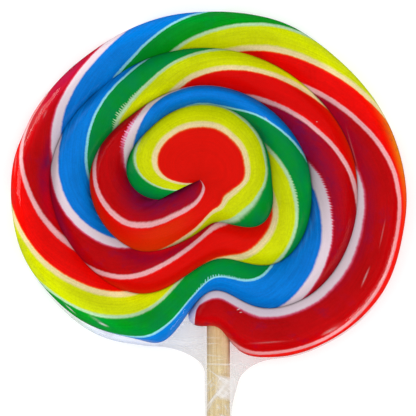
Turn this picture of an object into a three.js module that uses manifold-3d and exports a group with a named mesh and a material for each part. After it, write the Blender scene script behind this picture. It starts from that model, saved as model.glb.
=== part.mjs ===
// Swirl lollipop: a twisted rope of boiled sugar coiled into a flat disc and pressed, a wooden stick set
// into its edge, and the clear film that is gathered round the stick. Millimetres, +Z up. The disc lies on
// its flat back, its front faces up, and the stick points to -Y. The dimensions below are measured from the
// middle of the coil; at the end the whole is moved so that the origin is at the bottom centre of its box.
//
// The rope's outer edge is one spiral line, edgePoint(angle). The same line, one turn further in, is the
// rope's inner edge, so a turn is the band between edgePoint(angle) and edgePoint(angle + 360).

import * as THREE from "three";
import { mergeVertices } from "three/addons/utils/BufferGeometryUtils.js";
import Module from "manifold-3d";

// Coil: distance from the centre to the rope's outer edge, every 45 degrees of coil anticlockwise from the
// stick, one row a turn. The last value lies past the centre, so that the groove runs right into it.
const EDGE_RADII = [
  [33.6, 39.8, 38.1, 33.9, 32.0, 32.6, 37.1, 36.5],
  [25.2, 30.1, 28.9, 25.7, 24.7, 25.9, 29.5, 27.3],
  [18.4, 21.9, 20.1, 18.0, 17.6, 18.1, 21.9, 19.8],
  [9.8, 14.7, 12.7, 13.4, 14.0, 14.0, 14.7, 7.0],
  [-8.1],
];
const RADII_A_TURN = 8;
const TURNS = [0, 1, 2, 3];
const STICK_BEARING = -90; // where the stick is, and where the list above starts
const ROPE_START = -96; // blunt outer end of the rope
const ROPE_END = 1329; // inner end, at the middle of the coil
const LAST_GROOVE_BEARING = 1290; // from here on the groove runs straight to the middle
const CROTCH = ROPE_START + 360; // where the second turn passes under the rope's blunt end
const TURN_STEP = 5.5; // how far each turn steps inward where it passes the stick
const STEP_SPREAD = 13.7; // degrees of coil
const BLUNT_END_SPAN = 8; // degrees of coil taken by the rounding of the blunt end
const BULGES = [
  { angle: -89, size: 1.85, spread: 4.3 }, // the blunt end itself
  { angle: 257.5, size: 2.2, spread: 8.2 }, // the lobe that lies against it
  { angle: -64, size: 0.32, spread: 8 }, // small swellings and flats of the disc's edge
  { angle: -31, size: 0.5, spread: 12 },
  { angle: -6, size: 0.32, spread: 9 },
  { angle: 62, size: 0.47, spread: 12 },
  { angle: 91, size: -0.17, spread: 9 },
  { angle: 142, size: 0.17, spread: 9 },
  { angle: 166, size: -0.2, spread: 5 },
  { angle: 203, size: 0.42, spread: 11 },
];

// The dent that the stick presses into the coil: a share of the distance below the centre, and its width.
const DENT_X = 0.9;
const DENT_SHARE = 0.2;
const DENT_SHARE_A_TURN = 0.016;
const DENT_WIDTH = 4.2;
const DENT_WIDTH_A_TURN = 2.5;

// Pressed cross-section of the rope, heights measured from the disc's middle plane.
const BACK_CROWN = 4.2;
const FRONT_CROWN = 4.6;
const FRONT_CROWN_A_TURN = 0.12; // the inner turns ride a little higher
const GROOVE = 3.2;
const CENTRE_DIMPLE = 3.7;
const CREST = 0.42; // crest of the rope, as a share of its width from the outer edge
const CROWN_FULLNESS = 2.4; // exponent: 2 is a round crown, more is a flatter one
const EDGE_ROUND = 2.2; // exponent of the disc's round outer edge
const BACK_PRESS = 1.25; // how far the back would bulge past the plate that pressed it flat
const CROTCH_RAMP = 7; // degrees of coil over which the groove closes up beside the blunt end
const MIDDLE_RAMP = 24; // degrees of coil over which it fades at the middle

const STICK_DIAMETER = 4.5;
const STICK_X = 2.55;
const STICK_TOP = -5;
const STICK_BOTTOM = -122;
const STICK_BEVEL = 0.4;
const GAP = 0.3;

// Gathered film: each side hangs from the disc in a fillet, then the film follows the stick as a sleeve.
const WEB_LEFT = { cornerX: -0.6, cornerY: -31.9, reach: 12.1, drop: 5.5 };
const WEB_RIGHT = { cornerX: 6.9, cornerY: -34.5, reach: 8.2, drop: 4.7 };
const WEB_THICKNESS = 6.4;
const WEB_TOP = -27;
const SLEEVE_END = -52;
const SLEEVE_TIGHT = -45.5; // from here down the sleeve lies close on the stick
const SLEEVE_WALL = 0.6;

const ANGLE_STEP = 5;
const FINE_OFFSETS = [0, 1, 2.5, 4.5, 7]; // closer columns through the blunt end, before the even ones
const ROWS_UP = 3; // steps from the outer edge to the crest
const ROWS_DOWN = 3; // steps from the crest to the inner edge

const radians = THREE.MathUtils.degToRad;
const ease = (value, from, to) => THREE.MathUtils.smoothstep(value, from, to);

// ---- Coil ----

const turnsIn = (angle) => (angle - STICK_BEARING) / 360;

// Each passing of the stick moves the rope inward by TURN_STEP; the rest of the radius changes slowly.
function stepInward(angle) {
  return TURNS.reduce((sum, turn) => {
    const past = (angle - (STICK_BEARING + 360 * (turn + 1))) / STEP_SPREAD;
    return sum + (TURN_STEP * (1 + Math.tanh(past))) / 2;
  }, 0);
}

const slowRadius = new THREE.SplineCurve(
  EDGE_RADII.flatMap((row, turn) =>
    row.map((radius, k) => new THREE.Vector2(turn * RADII_A_TURN + k, radius + TURN_STEP * turn)),
  ),
);

function edgeRadius(angle) {
  const knot = Math.max(turnsIn(angle), 0) * RADII_A_TURN;
  const slow = slowRadius.getPoint(knot / (slowRadius.points.length - 1)).y;
  const bulge = BULGES.reduce(
    (sum, { angle: at, size, spread }) => sum + size * Math.exp(-(((angle - at) / spread) ** 2)),
    0,
  );
  return slow - stepInward(angle) + bulge;
}

// The stick pushes everything below the centre upward, most of all right above it.
function dented(x, y, turn) {
  const share = DENT_SHARE + DENT_SHARE_A_TURN * turn;
  const width = DENT_WIDTH + DENT_WIDTH_A_TURN * turn;
  const push = y < 0 ? share * Math.exp(-(((x - DENT_X) / width) ** 2)) : 0;
  return [x, y * (1 - push)];
}

// 0 at the very tip of the rope's blunt end, 1 where the rope has its full width.
function bluntEnd(angle) {
  const left = 1 - Math.min((angle - ROPE_START) / BLUNT_END_SPAN, 1);
  return Math.sqrt(1 - left * left);
}

// A point on the rope's outer edge line, before the stick dents it.
function edgePoint(angle, grow) {
  const radius = edgeRadius(angle) + (angle < CROTCH ? grow : 0);
  const bearing = radians(Math.min(angle, LAST_GROOVE_BEARING));
  return [radius * Math.cos(bearing), radius * Math.sin(bearing)];
}

// A point of the rope in plan: across = 0 is its outer edge and 1 its inner edge.
function planPoint(angle, across, grow) {
  const innerAngle = Math.min(angle + 360, ROPE_END);
  const inner = edgePoint(innerAngle, grow);
  const outer = edgePoint(angle, grow);
  const reach = (1 - across) * bluntEnd(angle);
  const mix = (a, b) => THREE.MathUtils.lerp(a, b, reach);
  const turn = mix(turnsIn(innerAngle), turnsIn(angle));
  return dented(mix(inner[0], outer[0]), mix(inner[1], outer[1]), turn);
}

// 0 along the coil, rising to 1 where the rope runs out at the middle.
const middleFade = (angle) => ease(angle, ROPE_END - MIDDLE_RAMP, ROPE_END);

// Height of the groove line: nothing on the disc's outer edge, GROOVE between turns, fading at the middle.
function grooveHeight(angle) {
  const open = GROOVE * Math.sqrt(ease(angle, CROTCH, CROTCH + CROTCH_RAMP));
  return THREE.MathUtils.lerp(open, CENTRE_DIMPLE, middleFade(angle));
}

// Height above the middle plane at a point of the rope. The front rises to a crest and falls into the
// grooves; the back is the same, pressed flat.
function surfaceHeight(angle, across, front) {
  const full = front ? FRONT_CROWN + FRONT_CROWN_A_TURN * turnsIn(angle) : BACK_CROWN;
  const crown = THREE.MathUtils.lerp(bluntEnd(angle) * full, CENTRE_DIMPLE, middleFade(angle));
  const outer = grooveHeight(angle);
  const inner = grooveHeight(Math.min(angle + 360, ROPE_END));
  const press = front ? 1 : BACK_PRESS;
  if (across < CREST) {
    const exposed = 1 - ease(angle, CROTCH, CROTCH + CROTCH_RAMP);
    const fall = (1 - across / CREST) ** THREE.MathUtils.lerp(CROWN_FULLNESS, EDGE_ROUND, exposed);
    const rise = (1 - fall) ** THREE.MathUtils.lerp(1, 1 / EDGE_ROUND, exposed);
    return outer + Math.max(crown - outer, 0) * Math.min(press * rise, 1);
  }
  const fall = ((across - CREST) / (1 - CREST)) ** CROWN_FULLNESS;
  return inner + (crown - inner) * Math.min(press * (1 - fall), 1);
}

// Shares of the rope's width at which a cross-section is sampled, closer together at the round outer edge.
const acrossSteps = [
  ...Array.from({ length: ROWS_UP }, (_, k) => CREST * (1 - Math.cos(((k / ROWS_UP) * Math.PI) / 2))),
  ...Array.from({ length: ROWS_DOWN + 1 }, (_, k) => THREE.MathUtils.lerp(CREST, 1, k / ROWS_DOWN)),
];

// Triangles from a grid of points, left out where two corners meet; flip turns them to face the other way.
function gridTriangles(grid, flip) {
  const corners = [];
  const push = (a, b, c) => {
    const flat = a.distanceTo(b) < 1e-4 || b.distanceTo(c) < 1e-4 || c.distanceTo(a) < 1e-4;
    if (!flat) corners.push(...(flip ? [a, c, b] : [a, b, c]));
  };
  for (let i = 0; i + 1 < grid.length; i++)
    for (let j = 0; j + 1 < grid[i].length; j++) {
      push(grid[i][j], grid[i + 1][j], grid[i + 1][j + 1]);
      push(grid[i][j], grid[i + 1][j + 1], grid[i][j + 1]);
    }
  return corners;
}

// Coil angles of the cross-sections, at the same offsets in every turn, so that neighbouring turns share
// points.
const evenOffsets = Array.from({ length: 360 / ANGLE_STEP - 2 }, (_, k) => (k + 2) * ANGLE_STEP);
const columnAngles = TURNS.flatMap((turn) =>
  [...FINE_OFFSETS, ...evenOffsets].map((offset) => ROPE_START + 360 * turn + offset),
).filter((angle) => angle <= ROPE_END);

// The coil as one closed skin: a front and a back sheet that meet round the disc's outer edge.
function coilGeometry(grow = 0) {
  const sheet = (front) =>
    columnAngles.map((angle) =>
      acrossSteps.map((across) => {
        const [x, y] = planPoint(angle, across, grow);
        const height = surfaceHeight(angle, across, front);
        const lift = height > 0 ? height + grow : 0;
        return new THREE.Vector3(x, y, BACK_CROWN + (front ? lift : -lift));
      }),
    );
  const corners = [...gridTriangles(sheet(true), false), ...gridTriangles(sheet(false), true)];
  return new THREE.BufferGeometry().setFromPoints(corners);
}

// ---- Booleans ----

const wasm = await Module();
wasm.setup();

function solidFrom(geometry) {
  const bare = new THREE.BufferGeometry().setAttribute("position", geometry.getAttribute("position"));
  if (geometry.index) bare.setIndex(geometry.index);
  const merged = mergeVertices(bare, 1e-4);
  return new wasm.Manifold(
    new wasm.Mesh({
      numProp: 3,
      vertProperties: new Float32Array(merged.getAttribute("position").array),
      triVerts: new Uint32Array(merged.index.array),
    }),
  );
}

function geometryFrom(solid) {
  const mesh = solid.getMesh();
  const geometry = new THREE.BufferGeometry();
  geometry.setAttribute("position", new THREE.BufferAttribute(mesh.vertProperties, mesh.numProp));
  geometry.setIndex(new THREE.BufferAttribute(mesh.triVerts, 1));
  geometry.computeVertexNormals();
  return geometry;
}

// ---- Stick and its socket ----

const STICK_SIDES = 20;

// A round rod along Y on the stick's axis, with a small bevel at both ends.
function rodGeometry(radius, top, bottom, bevel) {
  const profile = [
    [0, bottom],
    [radius - bevel, bottom],
    [radius, bottom + bevel],
    [radius, top - bevel],
    [radius - bevel, top],
    [0, top],
  ].map(([r, y]) => new THREE.Vector2(r, y));
  return new THREE.LatheGeometry(profile, STICK_SIDES).translate(STICK_X, 0, BACK_CROWN);
}

// ---- Gathered film ----

const WEB_SECTIONS = 6;
const SLEEVE_SECTIONS = 5;
const SECTION_SIDES = 24;

// A point of the concave fillet on one side of the web: turn 0 is out on the disc, 1 is down at the sleeve.
function webEdge(side, sign, turn) {
  const angle = (turn * Math.PI) / 2;
  return new THREE.Vector2(
    side.cornerX + sign * side.reach * (1 - Math.sin(angle)),
    side.cornerY - side.drop * (1 - Math.cos(angle)),
  );
}

// An upright oval ring from a left to a right point.
function ovalRing(left, right, halfThickness) {
  const middle = left.clone().add(right).multiplyScalar(0.5);
  const half = right.clone().sub(left).multiplyScalar(0.5);
  return Array.from({ length: SECTION_SIDES + 1 }, (_, k) => {
    const a = ((k % SECTION_SIDES) / SECTION_SIDES) * 2 * Math.PI;
    const c = Math.cos(a);
    const s = Math.sin(a);
    return new THREE.Vector3(middle.x + half.x * c, middle.y + half.y * c, BACK_CROWN + halfThickness * s);
  });
}

// Rings from the dent in the disc, down both fillets, and along the stick to the sleeve's end.
function skirtGeometry() {
  const tight = STICK_DIAMETER / 2 + GAP + SLEEVE_WALL;
  const rings = [];
  const webTop = [webEdge(WEB_LEFT, -1, 0), webEdge(WEB_RIGHT, 1, 0)];
  rings.push(
    ovalRing(
      new THREE.Vector2(webTop[0].x + 4, WEB_TOP),
      new THREE.Vector2(webTop[1].x - 2, WEB_TOP),
      WEB_THICKNESS / 2,
    ),
  );
  for (let k = 0; k <= WEB_SECTIONS; k++) {
    const turn = k / WEB_SECTIONS;
    const left = webEdge(WEB_LEFT, -1, turn);
    const right = webEdge(WEB_RIGHT, 1, turn);
    rings.push(ovalRing(left, right, THREE.MathUtils.lerp(WEB_THICKNESS / 2, tight, turn)));
  }
  const neckLeft = webEdge(WEB_LEFT, -1, 1);
  const neckRight = webEdge(WEB_RIGHT, 1, 1);
  for (let k = 1; k <= SLEEVE_SECTIONS; k++) {
    const y = THREE.MathUtils.lerp(neckRight.y, SLEEVE_END, k / SLEEVE_SECTIONS);
    const close = ease(-y, -neckRight.y, -SLEEVE_TIGHT);
    const left = THREE.MathUtils.lerp(neckLeft.x, STICK_X - tight, close);
    const right = THREE.MathUtils.lerp(neckRight.x, STICK_X + tight, close);
    rings.push(ovalRing(new THREE.Vector2(left, y), new THREE.Vector2(right, y), tight));
  }
  const first = rings[0];
  const last = rings[rings.length - 1];
  const middleOf = (ring) =>
    ring.slice(1).reduce((sum, p) => sum.add(p), new THREE.Vector3()).multiplyScalar(1 / SECTION_SIDES);
  const closed = [first.map(() => middleOf(first)), ...rings, last.map(() => middleOf(last))];
  return new THREE.BufferGeometry().setFromPoints(gridTriangles(closed, true));
}

// ---- Parts ----

const socket = solidFrom(rodGeometry(STICK_DIAMETER / 2 + GAP, STICK_TOP + GAP, STICK_BOTTOM - 1, 0.1));
const coil = solidFrom(coilGeometry()).subtract(socket);
const skirt = solidFrom(skirtGeometry()).subtract(socket).subtract(solidFrom(coilGeometry(GAP)));

const candyMaterial = new THREE.MeshStandardMaterial({ color: 0xd81f1c, roughness: 0.18, metalness: 0 });
const woodMaterial = new THREE.MeshStandardMaterial({ color: 0xd9c49c, roughness: 0.7, metalness: 0 });
const filmMaterial = new THREE.MeshStandardMaterial({
  color: 0xeef0f2,
  roughness: 0.1,
  metalness: 0,
  transparent: true,
  opacity: 0.35,
});

function part(name, geometry, material) {
  const mesh = new THREE.Mesh(geometry, material);
  mesh.name = name;
  return mesh;
}

const lollipop = new THREE.Group();
lollipop.add(
  part("candy_swirl", geometryFrom(coil), candyMaterial),
  part("stick", rodGeometry(STICK_DIAMETER / 2, STICK_TOP, STICK_BOTTOM, STICK_BEVEL), woodMaterial),
  part("wrapper_skirt", geometryFrom(skirt), filmMaterial),
);

const box = new THREE.Box3().setFromObject(lollipop);
const middle = box.getCenter(new THREE.Vector3());
lollipop.position.set(-middle.x, -middle.y, -box.min.z);

export default lollipop;
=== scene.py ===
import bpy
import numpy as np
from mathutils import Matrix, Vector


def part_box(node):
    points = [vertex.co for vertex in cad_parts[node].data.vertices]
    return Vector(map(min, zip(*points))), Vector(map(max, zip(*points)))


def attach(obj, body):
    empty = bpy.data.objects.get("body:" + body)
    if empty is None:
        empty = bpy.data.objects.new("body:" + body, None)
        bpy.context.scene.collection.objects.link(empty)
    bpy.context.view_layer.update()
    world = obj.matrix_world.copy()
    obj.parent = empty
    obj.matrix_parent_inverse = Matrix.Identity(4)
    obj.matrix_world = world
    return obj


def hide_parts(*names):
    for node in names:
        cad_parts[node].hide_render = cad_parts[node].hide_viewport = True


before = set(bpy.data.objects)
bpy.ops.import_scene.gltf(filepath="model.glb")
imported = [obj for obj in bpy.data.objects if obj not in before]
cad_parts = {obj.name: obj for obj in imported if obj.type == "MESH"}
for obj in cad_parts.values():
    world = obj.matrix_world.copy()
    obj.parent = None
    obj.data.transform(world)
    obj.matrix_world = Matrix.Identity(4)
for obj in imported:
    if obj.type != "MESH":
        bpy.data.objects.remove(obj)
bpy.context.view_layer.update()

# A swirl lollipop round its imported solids: a striped rope of boiled sugar coiled into a disc, a wooden
# stick, and the clear film that is shrunk over the disc and gathered round the stick. Shapes are worked
# out in millimetres from the middle of the coil and its middle plane, then placed in the part's frame.

# ---- Sizes shared with the solids, in mm and degrees of coil ----

EDGE_RADII = [
    33.6, 39.8, 38.1, 33.9, 32.0, 32.6, 37.1, 36.5,
    25.2, 30.1, 28.9, 25.7, 24.7, 25.9, 29.5, 27.3,
    18.4, 21.9, 20.1, 18.0, 17.6, 18.1, 21.9, 19.8,
    9.8, 14.7, 12.7, 13.4, 14.0, 14.0, 14.7, 7.0,
    -8.1,
]  # from the centre to the rope's outer edge, every 45 degrees of coil from the stick, a turn a line
RADII_A_TURN = 8
TURNS = 4
STICK_BEARING = -90
ROPE_START = -96
ROPE_END = 1329
LAST_GROOVE_BEARING = 1290
CROTCH = ROPE_START + 360  # where the rope comes round to its own blunt end
TURN_STEP = 5.5
STEP_SPREAD = 13.7
BLUNT_END_SPAN = 8
BULGES = [
    (-89, 1.85, 4.3), (257.5, 2.2, 8.2), (-64, 0.32, 8), (-31, 0.50, 12), (-6, 0.32, 9), (62, 0.47, 12),
    (91, -0.17, 9), (142, 0.17, 9), (166, -0.20, 5), (203, 0.42, 11),
]  # small swellings and flats of the disc's edge: angle, size, spread

# The dent above the stick: where, how deep a share of the radius, and how wide, each at the outer turn and
# more for each turn in.
DENT_X = 0.9
DENT_SHARE = (0.2, 0.016)
DENT_WIDTH = (4.2, 2.5)

# Half heights from the middle plane, and the form of the rope's round back.
BACK_CROWN = 4.2
FRONT_CROWN = (4.6, 0.12)  # at the outer turn, and more for each turn in
GROOVE = 3.2
CENTRE_DIMPLE = 3.7
CREST = 0.42
CROWN_FULLNESS = 2.4
EDGE_ROUND = 2.2
BACK_PRESS = 1.25
CROTCH_RAMP = 7
MIDDLE_RAMP = 24

STICK_RADIUS = 2.25
STICK_X = 2.55
STICK_TOP = -5
STICK_BOTTOM = -122

# ---- The twist of the rope ----

# The colours lie lengthwise on the rope, and the rope is twisted: PHASE is how many times the colours have
# gone round at the rope's outer edge, every PHASE_STEP degrees of coil. Whole numbers are wide white lines.
PHASE_START = -120
PHASE_STEP = 24
PHASE = [
    0.241, 0.252, 0.272, 0.272, 0.280, 0.309, 0.441, 0.558, 0.67, 0.821, 1.007, 1.131, 1.297, 1.471, 1.602,
    1.738, 1.898, 1.936, 2.082, 2.185, 2.279, 2.393, 2.477, 2.549, 2.636, 2.744, 2.82, 2.943, 3.047, 3.188,
    3.339, 3.404, 3.461, 3.607, 3.678, 3.741, 3.826, 3.919, 4.015, 4.023, 4.055, 4.192, 4.313, 4.365, 4.399,
    4.436, 4.477, 4.531, 4.598, 4.592, 4.551, 4.541, 4.535, 4.526, 4.524, 4.52, 4.522, 4.557, 4.618, 4.638,
    4.579, 4.52, 4.50,
]
FACE_STEP = 200
FACE_TWIST = [0.263, 0.298, 0.262, 0.272, 0.252, 0.243, 0.273, 0.24]  # how far round the front face reaches
FACE_BEND = (0.15, 0.017)  # how far the lines bow on the way across, and how unevenly
# Where the colours reach further round at the disc's edge: angle, spread, size, and how far in it fades.
RIM_LIFTS = [
    (232, 16, 0.075, 0.3), (-91, 8.5, -0.09, 0.3), (254.5, 5, 0.036, 1), (267.5, 5.5, -0.06, 1),
    (155, 7.5, 0.15, 0.18), (-64, 8, 0.008, 0.6), (-31, 12, 0.013, 0.6), (-6, 9, 0.008, 0.6),
    (62, 12, 0.012, 0.6), (203, 11, 0.011, 0.6), (143, 14, 0.038, 1),
]
# Lines drawn narrow: line, reach, amount, and the angles where it begins and is full.
LINE_PINCHES = [
    (0.5977, 0.05, 1.2, 1020, 1090), (0.2496, 0.04, 0.55, 5, -25), (0.7818, 0.05, 0.60, 252, 262),
    (0.7818, 0.05, -0.37, 300, 325),
]
BACK_TWIST = 0.27
HIDDEN_TWIST = 0.23  # taken up between two turns, where the rope lies against itself
LINES = [0, 0.2496, 0.4499, 0.5977, 0.7818]  # even places of the lines between the colours
COLOUR_TURNS = 5
LINE_SHIFTS = [
    0.021, -0.009, -0.042, -0.011, -0.011,
    0.018, 0.021, 0.0, 0.0, 0.005,
    0.038, -0.006, -0.023, -0.014, -0.054,
    -0.048, -0.049, -0.011, -0.01, -0.006,
    0.063, 0.06, -0.002, -0.075, 0.029,
]  # how far each line of the rope lies from its even place, once round the colours a row
CORE_PHASE = 4.31  # the rope's inner end shows no colour before this
CORE_SPAN = (1000, 1040)  # degrees of coil over which that sets in
UNHELD = 9  # more than any phase, so that nothing is held before then
TIP_WHITE = (2.0, 4.2)  # degrees of coil at the blunt end where the white all round gives way to the stripes

# ---- Painted light and shade in the colour ----

# Light and shade are painted into the colour. Boiled sugar lets light through: a painted glow lies at the
# thin rim of the disc, and painted shade where the rope lies against the next turn. Each spot is where a side
# of the rope is painted darker (+) as shade or lighter (-) as a highlight than elsewhere: angle, spread,
# place across, spread, amount.
RIM_GLOW = 0.32
EDGE_GLOW = (0.42, 0.035)  # amount and reach, right at the rim
INNER_FALL = 0.10  # how much less light the inner half of the rope gives
GROOVE_SHADE = [(0.18, 0.08), (0.40, 0.09)]  # amount and reach beside the inner groove: rim turn, further in
OUTER_SHADE = (0.42, 0.06)  # the same beside the outer groove
LIGHT_RANGE = (0.06, 1.6)
WARM_INSIDE = 0.008  # added from the second turn inward
WARM_EDGE = (0.05, 0.06)  # amount and reach at each turn's outer edge
# Painted shade (+) and painted highlights (-) on the rope's sides.
SHADE_AND_HIGHLIGHT_SPOTS = [
    (388, 26, 0.95, 0.17, 0.45), (357, 20, 0.75, 0.22, 0.25), (752, 22, 0.95, 0.14, 0.30),
    (935, 24, 0.95, 0.28, 0.75), (548, 14, 1.0, 0.10, 0.45), (70, 10, 0.94, 0.07, 0.30),
    (500, 28, 0.07, 0.08, 0.32), (540, 22, 0.10, 0.10, 0.28), (335, 26, 0.04, 0.06, 0.10),
    (860, 30, 0.12, 0.16, 0.20), (905, 16, 0.03, 0.07, 0.30), (740, 14, 0.03, 0.06, 0.25),
    (247, 22, 0.90, 0.20, -0.40), (400, 26, 0.02, 0.08, -0.55), (632, 26, 0.02, 0.07, -0.80),
    (490, 22, 0.88, 0.12, -0.45), (605, 14, 1.0, 0.10, -0.70), (160, 14, 0.25, 0.16, -0.25),
    (690, 24, 0.20, 0.16, -0.15), (232, 14, 0.12, 0.14, -0.18), (189, 13, 0.93, 0.13, -0.55),
    (279, 13, 0.82, 0.22, -0.35), (369, 13, 0.68, 0.14, -0.18), (369, 13, 1.0, 0.05, 0.40),
    (339, 13, 0.94, 0.06, 0.30), (551, 10, 1.0, 0.06, 0.30), (596, 18, 1.0, 0.05, -0.60),
    (716, 16, 0.10, 0.14, -0.36), (759, 11, 0.92, 0.07, 0.30), (790, 26, 0.08, 0.14, 0.22),
    (849, 13, 0.26, 0.12, 0.16), (879, 12, 0.08, 0.06, 0.30), (925, 26, 1.0, 0.09, 0.60),
    (-50, 6, 0.15, 0.06, -0.70), (157, 9, 0.10, 0.12, -0.30), (235.5, 3.2, 0.20, 0.10, -0.45),
]
# Where crimson is painted as wine in shade: the same columns.
WINE_SHADE_SPOTS = [
    (172, 20, 0.88, 0.15, 0.95), (385, 24, 0.80, 0.30, 0.9), (350, 26, 0.62, 0.30, 0.35),
    (330, 16, 0.45, 0.3, 0.30), (600, 22, 0.80, 0.22, 0.5), (556, 14, 0.08, 0.12, 0.45),
    (940, 26, 0.85, 0.30, 0.8), (-28, 22, 0.85, 0.14, 0.35), (-5, 20, 0.80, 0.2, 0.3),
    (30, 18, 0.9, 0.15, 0.4), (975, 24, 0.5, 0.4, 0.4),
]
WARM_SPOTS = [(9, 13, 0.0, 0.12, 1.0), (958, 16, 0.2, 0.5, 0.06), (143, 12, 0.10, 0.2, -0.8)]
# Where a line is drawn out in fine bristles.
DRAWN_SPOTS = [
    (500, 15, 0.78, 0.16, 1.2), (872, 14, 0.35, 0.30, 1.1), (350, 18, 0.60, 0.50, 0.5),
    (284, 7, 0.46, 0.14, 0.7), (708, 9, 0.60, 0.25, 1.0), (272, 6, 0.46, 0.14, 1.3),
    (640, 9, 0.9, 0.2, 0.6),
]

# ---- Small helpers ----

MM = 0.001
stick_low, stick_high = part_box("stick")
MIDDLE = np.array([
    (stick_low.x + stick_high.x) / 2 / MM - STICK_X,
    stick_high.y / MM - STICK_TOP,
    (stick_low.z + stick_high.z) / 2 / MM,
])


def ease(value, start, end):
    """Smoothstep: 0 before start, 1 after end, 3t^2 - 2t^3 between."""
    t = np.clip((value - start) / (end - start), 0, 1)
    return t * t * (3 - 2 * t)


def mix(a, b, share):
    """A straight line from a, where the share is 0, to b, where it is 1."""
    return a + (b - a) * share


def flowing(values, position):
    """Catmull-Rom curve through evenly spaced values, read at positions counted in values."""
    values = np.asarray(values, float)
    last = len(values) - 1
    position = np.clip(position, 0, last)
    i = np.minimum(np.floor(position).astype(int), last - 1)
    t = position - i
    before, here, after, beyond = (values[np.clip(i + k, 0, last)] for k in (-1, 0, 1, 2))
    v0, v1 = (after - before) / 2, (beyond - here) / 2
    bent = (2 * here - 2 * after + v0 + v1) * t + (-3 * here + 3 * after - 2 * v0 - v1)
    return bent * t * t + v0 * t + here


LATTICE = 64
THREE_OCTAVES = 1.75  # the weights 1, 1/2 and 1/4 added up


def rough(x, y, seed, octaves=3):
    """Value noise, from -1 to 1 with three octaves: random heights on a unit lattice joined by
    smoothsteps, halved each octave."""
    total = 0
    for octave in range(octaves):
        heights = np.random.default_rng(seed + octave).uniform(-1, 1, (LATTICE, LATTICE))
        u, v = x * 2**octave, y * 2**octave
        i, j = np.floor(u).astype(int), np.floor(v).astype(int)
        s, t = ease(u - i, 0, 1), ease(v - j, 0, 1)
        near, far = ([heights[(i + a) % LATTICE, (j + b) % LATTICE] for a in (0, 1)] for b in (0, 1))
        total = total + mix(mix(*near, s), mix(*far, s), t) / 2**octave
    return total / THREE_OCTAVES


# ---- The coil, by the same formulas as the solid ----

def turns_in(angle):
    """Turns of the coil passed since the stick, from the outer end inward."""
    return (angle - STICK_BEARING) / 360


def edge_radius(angle):
    """The slow curve through EDGE_RADII, less a tanh step at each passing of the stick, plus the bulges."""
    slow = [r + TURN_STEP * (k // RADII_A_TURN) for k, r in enumerate(EDGE_RADII)]
    radius = flowing(slow, np.maximum(turns_in(angle), 0) * RADII_A_TURN)
    for turn in range(TURNS):
        past = (angle - (STICK_BEARING + 360 * (turn + 1))) / STEP_SPREAD
        radius = radius - TURN_STEP * (1 + np.tanh(past)) / 2
    for at, size, spread in BULGES:
        radius = radius + size * np.exp(-(((angle - at) / spread) ** 2))
    return radius


def edge_point(angle):
    """The rope's outer edge line in polar form; past the last groove its bearing stands still."""
    bearing = np.radians(np.minimum(angle, LAST_GROOVE_BEARING))
    return edge_radius(angle) * np.cos(bearing), edge_radius(angle) * np.sin(bearing)


def blunt_end(angle):
    """Quarter circle: 0 at the rope's tip, 1 where it has its full width."""
    left = 1 - np.minimum((angle - ROPE_START) / BLUNT_END_SPAN, 1)
    return np.sqrt(1 - left * left)


def plan(angle, across):
    """The rope seen from above: straight across from its outer edge line (0) to the same line a turn
    further in (1), then pushed up by the stick below the centre."""
    inner_angle = np.minimum(angle + 360, ROPE_END)
    (xi, yi), (xo, yo) = edge_point(inner_angle), edge_point(angle)
    reach = (1 - across) * blunt_end(angle)
    x, y = mix(xi, xo, reach), mix(yi, yo, reach)
    turn = mix(turns_in(inner_angle), turns_in(angle), reach)
    share, width = DENT_SHARE[0] + DENT_SHARE[1] * turn, DENT_WIDTH[0] + DENT_WIDTH[1] * turn
    push = np.where(y < 0, share * np.exp(-(((x - DENT_X) / width) ** 2)), 0)
    return x, y * (1 - push)


def middle_fade(angle):
    """0 along the rope, rising by a smoothstep to 1 at its inner end."""
    return ease(angle, ROPE_END - MIDDLE_RAMP, ROPE_END)


def groove_height(angle):
    """Half height at a groove: the root of a smoothstep from the crotch on, and the dimple's at the centre
    of the coil."""
    opened = GROOVE * np.sqrt(ease(angle, CROTCH, CROTCH + CROTCH_RAMP))
    return mix(opened, CENTRE_DIMPLE, middle_fade(angle))


def half_height(angle, across, front):
    """From the middle plane to the skin: a power curve up from the outer edge to the crest and another
    down to the inner edge; the back is fuller and cut off flat where it was pressed."""
    full = FRONT_CROWN[0] + FRONT_CROWN[1] * turns_in(angle) if front else BACK_CROWN
    crown = mix(blunt_end(angle) * full, CENTRE_DIMPLE, middle_fade(angle))
    outer, inner = groove_height(angle), groove_height(np.minimum(angle + 360, ROPE_END))
    press = 1 if front else BACK_PRESS
    exposed = 1 - ease(angle, CROTCH, CROTCH + CROTCH_RAMP)
    fall = np.maximum(1 - across / CREST, 0) ** mix(CROWN_FULLNESS, EDGE_ROUND, exposed)
    rise = (1 - fall) ** mix(1, 1 / EDGE_ROUND, exposed)
    up = outer + np.maximum(crown - outer, 0) * np.minimum(press * rise, 1)
    fall = np.maximum((across - CREST) / (1 - CREST), 0) ** CROWN_FULLNESS
    down = inner + (crown - inner) * np.minimum(press * (1 - fall), 1)
    return np.where(across < CREST, up, down)


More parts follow.
